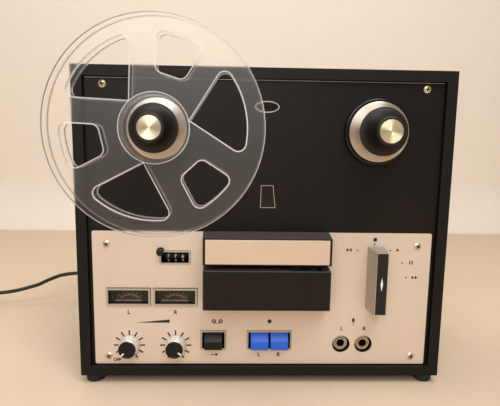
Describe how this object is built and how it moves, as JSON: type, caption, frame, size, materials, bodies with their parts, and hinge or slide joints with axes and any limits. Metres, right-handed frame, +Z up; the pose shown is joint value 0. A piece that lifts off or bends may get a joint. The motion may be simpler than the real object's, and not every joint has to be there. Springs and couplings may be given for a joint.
{
  "type": "reel-to-reel tape recorder",
  "caption": "Upright reel-to-reel tape recorder in a black cabinet with a clear supply reel, covered heads, level meters, counter, volume knobs, keys, jacks and function lever.",
  "frame": {"origin": "on the floor plane under the middle of the box round the recorder without its lead", "axes": "+X to the user's right, +Y away from the user into the cabinet, +Z up"},
  "size_m": [0.569, 0.2587, 0.3164],
  "materials": {
    "black_vinyl_board": "grained black vinyl over boards",
    "hardboard": "dark hardboard",
    "black_painted_steel": "satin black paint",
    "champagne_aluminium": "brushed and anodised",
    "silver_aluminium": "turned and brushed",
    "brassed_steel": "plated screws",
    "bronze": "sintered bronze",
    "zinc_steel": "zinc plated",
    "ground_steel": "ground",
    "motor_steel": "grey enamel",
    "black_rubber": "matt",
    "black_plastic": "fine matt",
    "gloss_black_plastic": "polished",
    "clear_polystyrene": "clear moulded",
    "clear_lens": "clear",
    "silver_trim_plastic": "bright trim",
    "blue_plastic": "polished",
    "red_lacquer": "lacquered",
    "nickel_brass": "nickel plated",
    "circuit_board": "phenolic board with parts",
    "transformer_iron": "varnished laminations",
    "black_pvc": "flexible lead jacket"
  },
  "bodies": {
    "cabinet": {"cabinet_box": "black_vinyl_board", "back_panel": "hardboard", "case_screws": "brassed_steel", "feet": "black_rubber", "deck_plate": "black_painted_steel", "control_panel": "champagne_aluminium", "transport_chassis": "zinc_steel", "shaft_bearings": "bronze", "upper_head_cover": "black_plastic", "cover_faceplate": "champagne_aluminium", "lower_head_cover": "black_plastic", "head_bracket": "zinc_steel", "erase_head": "gloss_black_plastic", "record_play_head": "ground_steel", "tape_guides": "ground_steel", "drive_motor": "motor_steel", "drive_belt": "black_rubber", "counter_housing": "gloss_black_plastic", "meter_cases": "gloss_black_plastic", "meter_lenses": "clear_lens", "input_key_frame": "silver_trim_plastic", "record_key_frame": "silver_trim_plastic", "mic_jacks": "nickel_brass", "volume_pots": "zinc_steel", "power_transformer": "transformer_iron", "amplifier_board": "circuit_board", "line_jacks": "nickel_brass", "strain_relief": "black_rubber", "power_cord": "black_pvc", "cord_coil": "black_pvc", "cord_tie": "black_plastic", "power_plug": "black_plastic"},
    "supply_side": {"supply_spindle": "ground_steel", "supply_turntable": "gloss_black_plastic", "supply_disc": "silver_aluminium", "reel_rear_half": "clear_polystyrene", "reel_front_half": "clear_polystyrene", "supply_cap": "black_plastic"},
    "takeup_side": {"takeup_spindle": "ground_steel", "takeup_turntable": "gloss_black_plastic", "takeup_disc": "silver_aluminium", "takeup_cap": "black_plastic"},
    "capstan": {"capstan_flywheel": "ground_steel"},
    "motor_rotor": {"motor_pulley": "bronze"},
    "pinch_lever": {"pinch_arm": "zinc_steel"},
    "roller": {"pinch_roller": "black_rubber"},
    "lever": {"function_lever": "silver_aluminium", "lever_insert": "gloss_black_plastic", "lever_cam": "zinc_steel"},
    "hundreds_drum": {"counter_hundreds": "black_plastic"},
    "tens_drum": {"counter_tens": "black_plastic"},
    "units_drum": {"counter_units": "black_plastic"},
    "reset_button": {"counter_reset": "gloss_black_plastic"},
    "left_knob": {"left_volume_knob": "silver_aluminium"},
    "right_knob": {"right_volume_knob": "silver_aluminium"},
    "input_button": {"input_key": "gloss_black_plastic"},
    "left_record_button": {"left_record_key": "blue_plastic"},
    "right_record_button": {"right_record_key": "blue_plastic"},
    "left_needle": {"left_meter_needle": "red_lacquer"},
    "right_needle": {"right_meter_needle": "red_lacquer"}
  },
  "joints": [
    {"name": "supply_spin", "type": "hinge", "parent": "cabinet", "child": "supply_side", "pos_m": [-0.0814, -0.07075, 0.22752], "axis": [0, 1, 0], "continuous": true},
    {"name": "takeup_spin", "type": "hinge", "parent": "cabinet", "child": "takeup_side", "pos_m": [0.10361, -0.07075, 0.22752], "axis": [0, 1, 0], "continuous": true},
    {"name": "capstan_spin", "type": "hinge", "parent": "cabinet", "child": "capstan", "pos_m": [0.0448, -0.07075, 0.11839], "axis": [0, 1, 0], "continuous": true},
    {"name": "motor_spin", "type": "hinge", "parent": "cabinet", "child": "motor_rotor", "pos_m": [-0.0212, -0.07075, 0.18539], "axis": [0, 1, 0], "continuous": true},
    {"name": "pinch_swing", "type": "hinge", "parent": "cabinet", "child": "pinch_lever", "pos_m": [0.0168, -0.07075, 0.09599], "axis": [0, 1, 0], "range_deg": [-9.2, 0]},
    {"name": "pinch_spin", "type": "hinge", "parent": "pinch_lever", "child": "roller", "pos_m": [0.0448, -0.07075, 0.10069], "axis": [0, 1, 0], "continuous": true},
    {"name": "lever_turn", "type": "hinge", "parent": "cabinet", "child": "lever", "pos_m": [0.10848, -0.07075, 0.09959], "axis": [0, 1, 0], "range_deg": [-30, 90]},
    {"name": "hundreds_count", "type": "hinge", "parent": "cabinet", "child": "hundreds_drum", "pos_m": [-0.06839, -0.06155, 0.11649], "axis": [1, 0, 0], "continuous": true},
    {"name": "tens_count", "type": "hinge", "parent": "cabinet", "child": "tens_drum", "pos_m": [-0.06839, -0.06155, 0.11649], "axis": [1, 0, 0], "continuous": true},
    {"name": "units_count", "type": "hinge", "parent": "cabinet", "child": "units_drum", "pos_m": [-0.06839, -0.06155, 0.11649], "axis": [1, 0, 0], "continuous": true},
    {"name": "reset_press", "type": "slide", "parent": "cabinet", "child": "reset_button", "axis": [0, 1, 0], "range_m": [0, 0.0025], "stiffness_N_per_m": 200, "springref_m": -0.002},
    {"name": "left_volume_turn", "type": "hinge", "parent": "cabinet", "child": "left_knob", "pos_m": [-0.10959, -0.07075, 0.03551], "axis": [0, 1, 0], "range_deg": [-14, 286]},
    {"name": "right_volume_turn", "type": "hinge", "parent": "cabinet", "child": "right_knob", "pos_m": [-0.06839, -0.07075, 0.03551], "axis": [0, 1, 0], "range_deg": [-274, 26]},
    {"name": "input_press", "type": "slide", "parent": "cabinet", "child": "input_button", "axis": [0, 1, 0], "range_m": [0, 0.004], "stiffness_N_per_m": 400, "springref_m": -0.002},
    {"name": "left_record_press", "type": "slide", "parent": "cabinet", "child": "left_record_button", "axis": [0, 1, 0], "range_m": [0, 0.004], "stiffness_N_per_m": 400, "springref_m": -0.002},
    {"name": "right_record_press", "type": "slide", "parent": "cabinet", "child": "right_record_button", "axis": [0, 1, 0], "range_m": [0, 0.004], "stiffness_N_per_m": 400, "springref_m": -0.002},
    {"name": "left_needle_swing", "type": "hinge", "parent": "cabinet", "child": "left_needle", "pos_m": [-0.10959, -0.07075, 0.0675], "axis": [0, 1, 0], "range_deg": [0, 70], "stiffness_Nm_per_rad": 0.002, "springref_deg": -17.19},
    {"name": "right_needle_swing", "type": "hinge", "parent": "cabinet", "child": "right_needle", "pos_m": [-0.06839, -0.07075, 0.0675], "axis": [0, 1, 0], "range_deg": [0, 70], "stiffness_Nm_per_rad": 0.002, "springref_deg": -17.19}
  ],
  "couplings": [
    {"joint": "motor_spin", "follows": "capstan_spin", "ratio": 5.4286},
    {"joint": "units_count", "follows": "supply_spin", "ratio": 0.05},
    {"joint": "tens_count", "follows": "supply_spin", "ratio": 0.005},
    {"joint": "hundreds_count", "follows": "supply_spin", "ratio": 0.0005}
  ]
}
